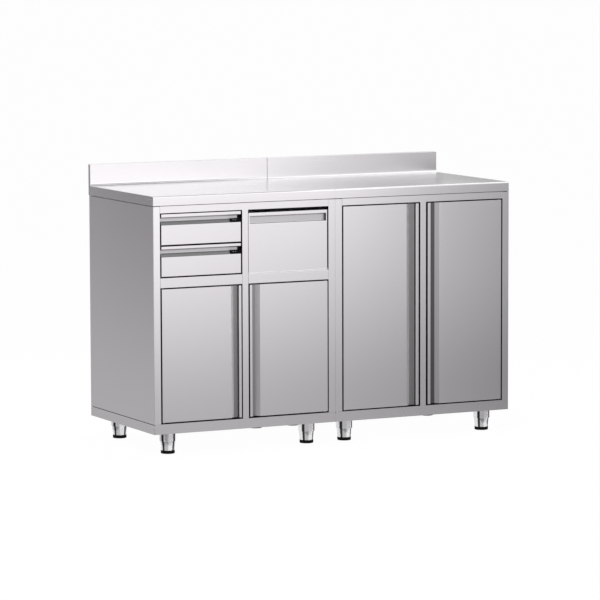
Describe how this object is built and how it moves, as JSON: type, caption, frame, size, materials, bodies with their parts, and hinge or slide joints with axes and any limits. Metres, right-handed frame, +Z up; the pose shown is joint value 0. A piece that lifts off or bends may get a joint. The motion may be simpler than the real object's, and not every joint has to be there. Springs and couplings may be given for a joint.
{
  "type": "waiter service station",
  "caption": "Stainless steel service counter with upstand: drawers and a tilting bin over a low cupboard, beside a tall cupboard, on adjustable legs.",
  "frame": {"origin": "on the floor under the middle of the station", "axes": "+X to the right seen from the front, +Y to the rear, +Z up"},
  "size_m": [1.5, 0.6, 1.05],
  "materials": {
    "brushed_steel": "fine brushed stainless steel sheet",
    "zinc_steel": "zinc plated steel",
    "polished_steel": "polished stainless steel",
    "black_plastic": "moulded black plastic, lightly textured",
    "black_rubber": "black rubber foot pad"
  },
  "bodies": {
    "cabinet": {"left_worktop": "brushed_steel", "left_outer_side": "brushed_steel", "left_inner_side": "brushed_steel", "left_back": "brushed_steel", "left_floor_pan": "brushed_steel", "left_front_frame": "brushed_steel", "drawer_deck": "brushed_steel", "bay_divider": "brushed_steel", "right_worktop": "brushed_steel", "right_inner_side": "brushed_steel", "right_outer_side": "brushed_steel", "right_back": "brushed_steel", "right_floor_pan": "brushed_steel", "right_front_frame": "brushed_steel", "cupboard_shelf": "brushed_steel", "low_left_door_hinge_rod": "zinc_steel", "low_right_door_hinge_rod": "zinc_steel", "tall_left_door_hinge_rod": "zinc_steel", "tall_right_door_hinge_rod": "zinc_steel", "bin_pivot_rod": "zinc_steel", "lower_drawer_left_slide_outer": "zinc_steel", "lower_drawer_right_slide_outer": "zinc_steel", "upper_drawer_left_slide_outer": "zinc_steel", "upper_drawer_right_slide_outer": "zinc_steel", "left_front_outer_leg_sleeve": "polished_steel", "left_front_inner_leg_sleeve": "polished_steel", "left_rear_outer_leg_sleeve": "polished_steel", "left_rear_inner_leg_sleeve": "polished_steel", "right_front_outer_leg_sleeve": "polished_steel", "right_front_inner_leg_sleeve": "polished_steel", "right_rear_outer_leg_sleeve": "polished_steel", "right_rear_inner_leg_sleeve": "polished_steel"},
    "low_left_door": {"low_left_door_skin": "brushed_steel", "low_left_door_liner": "brushed_steel"},
    "low_right_door": {"low_right_door_skin": "brushed_steel", "low_right_door_liner": "brushed_steel"},
    "tall_left_door": {"tall_left_door_skin": "brushed_steel", "tall_left_door_liner": "brushed_steel"},
    "tall_right_door": {"tall_right_door_skin": "brushed_steel", "tall_right_door_liner": "brushed_steel"},
    "lower_drawer": {"lower_drawer_front": "brushed_steel", "lower_drawer_tray": "brushed_steel"},
    "lower_drawer_slides": {"lower_drawer_left_slide_middle": "zinc_steel", "lower_drawer_right_slide_middle": "zinc_steel"},
    "lower_drawer_latch": {"lower_drawer_latch": "black_plastic"},
    "upper_drawer": {"upper_drawer_front": "brushed_steel", "upper_drawer_tray": "brushed_steel"},
    "upper_drawer_slides": {"upper_drawer_left_slide_middle": "zinc_steel", "upper_drawer_right_slide_middle": "zinc_steel"},
    "upper_drawer_latch": {"upper_drawer_latch": "black_plastic"},
    "bin": {"bin_front": "brushed_steel", "bin_hopper": "brushed_steel"},
    "left_front_outer_leg_foot": {"left_front_outer_leg_foot": "polished_steel"},
    "left_front_inner_leg_foot": {"left_front_inner_leg_foot": "polished_steel"},
    "left_rear_outer_leg_foot": {"left_rear_outer_leg_foot": "polished_steel"},
    "left_rear_inner_leg_foot": {"left_rear_inner_leg_foot": "polished_steel"},
    "right_front_outer_leg_foot": {"right_front_outer_leg_foot": "polished_steel"},
    "right_front_inner_leg_foot": {"right_front_inner_leg_foot": "polished_steel"},
    "right_rear_outer_leg_foot": {"right_rear_outer_leg_foot": "polished_steel"},
    "right_rear_inner_leg_foot": {"right_rear_inner_leg_foot": "polished_steel"}
  },
  "joints": [
    {"name": "low_left_door_swing", "type": "hinge", "parent": "cabinet", "child": "low_left_door", "pos_m": [-0.709, -0.292, 0.1255], "axis": [0, 0, -1], "range_deg": [0, 95]},
    {"name": "low_right_door_swing", "type": "hinge", "parent": "cabinet", "child": "low_right_door", "pos_m": [-0.0418, -0.292, 0.1255], "axis": [0, 0, 1], "range_deg": [0, 95]},
    {"name": "tall_left_door_swing", "type": "hinge", "parent": "cabinet", "child": "tall_left_door", "pos_m": [0.0418, -0.292, 0.1255], "axis": [0, 0, -1], "range_deg": [0, 95]},
    {"name": "tall_right_door_swing", "type": "hinge", "parent": "cabinet", "child": "tall_right_door", "pos_m": [0.709, -0.292, 0.1255], "axis": [0, 0, 1], "range_deg": [0, 95]},
    {"name": "lower_drawer_pull", "type": "slide", "parent": "cabinet", "child": "lower_drawer", "axis": [0, -1, 0], "range_m": [0, 0.4]},
    {"name": "lower_drawer_slides_run", "type": "slide", "parent": "cabinet", "child": "lower_drawer_slides", "axis": [0, -1, 0], "range_m": [0, 0.2]},
    {"name": "lower_drawer_latch_push", "type": "slide", "parent": "lower_drawer", "child": "lower_drawer_latch", "axis": [-1, 0, 0], "range_m": [0, 0.006], "stiffness_N_per_m": 150},
    {"name": "upper_drawer_pull", "type": "slide", "parent": "cabinet", "child": "upper_drawer", "axis": [0, -1, 0], "range_m": [0, 0.4]},
    {"name": "upper_drawer_slides_run", "type": "slide", "parent": "cabinet", "child": "upper_drawer_slides", "axis": [0, -1, 0], "range_m": [0, 0.2]},
    {"name": "upper_drawer_latch_push", "type": "slide", "parent": "upper_drawer", "child": "upper_drawer_latch", "axis": [-1, 0, 0], "range_m": [0, 0.006], "stiffness_N_per_m": 150},
    {"name": "bin_tilt", "type": "hinge", "parent": "cabinet", "child": "bin", "pos_m": [-0.3579, -0.2955, 0.67], "axis": [1, 0, 0], "range_deg": [0, 35]},
    {"name": "left_front_outer_leg_level", "type": "slide", "parent": "cabinet", "child": "left_front_outer_leg_foot", "axis": [0, 0, -1], "range_m": [0, 0.025]},
    {"name": "left_front_inner_leg_level", "type": "slide", "parent": "cabinet", "child": "left_front_inner_leg_foot", "axis": [0, 0, -1], "range_m": [0, 0.025]},
    {"name": "left_rear_outer_leg_level", "type": "slide", "parent": "cabinet", "child": "left_rear_outer_leg_foot", "axis": [0, 0, -1], "range_m": [0, 0.025]},
    {"name": "left_rear_inner_leg_level", "type": "slide", "parent": "cabinet", "child": "left_rear_inner_leg_foot", "axis": [0, 0, -1], "range_m": [0, 0.025]},
    {"name": "right_front_outer_leg_level", "type": "slide", "parent": "cabinet", "child": "right_front_outer_leg_foot", "axis": [0, 0, -1], "range_m": [0, 0.025]},
    {"name": "right_front_inner_leg_level", "type": "slide", "parent": "cabinet", "child": "right_front_inner_leg_foot", "axis": [0, 0, -1], "range_m": [0, 0.025]},
    {"name": "right_rear_outer_leg_level", "type": "slide", "parent": "cabinet", "child": "right_rear_outer_leg_foot", "axis": [0, 0, -1], "range_m": [0, 0.025]},
    {"name": "right_rear_inner_leg_level", "type": "slide", "parent": "cabinet", "child": "right_rear_inner_leg_foot", "axis": [0, 0, -1], "range_m": [0, 0.025]}
  ],
  "couplings": [
    {"joint": "lower_drawer_slides_run", "follows": "lower_drawer_pull", "ratio": 0.5},
    {"joint": "upper_drawer_slides_run", "follows": "upper_drawer_pull", "ratio": 0.5}
  ]
}
